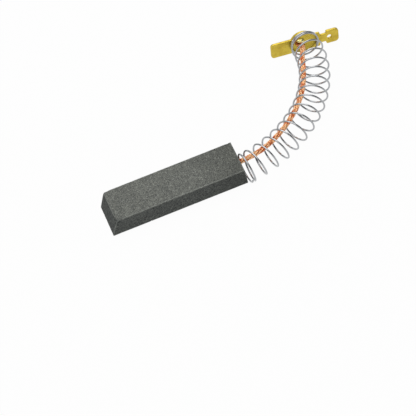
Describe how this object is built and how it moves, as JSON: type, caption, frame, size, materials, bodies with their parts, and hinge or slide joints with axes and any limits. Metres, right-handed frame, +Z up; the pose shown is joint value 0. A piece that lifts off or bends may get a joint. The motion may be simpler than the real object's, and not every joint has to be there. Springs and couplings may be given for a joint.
{
  "type": "carbon brush",
  "caption": "Carbon brush for an electric motor: a graphite block pressed to the commutator by a coil spring, with a copper shunt to a brass tab terminal.",
  "frame": {"origin": "middle of the underside of the bounding box, on the surface that the brush lies on", "axes": "+X from the contact end of the block to the terminal's lug, along the block's length to within 3 degrees; +Y to the side that the spring bends to; +Z up from the surface"},
  "size_m": [0.0824, 0.0442, 0.0095],
  "materials": {
    "carbon": "matte, grainy",
    "powder": "matte, rammed",
    "copper": "bright braided copper",
    "steel": "bright drawn wire",
    "brass": "bright stamped",
    "weld": "smooth bead"
  },
  "bodies": {
    "root": {"carbon_block": "carbon", "tamping_plug": "powder", "copper_braid": "copper", "spring": "steel", "terminal": "brass", "weld_bead": "weld"}
  },
  "joints": []
}
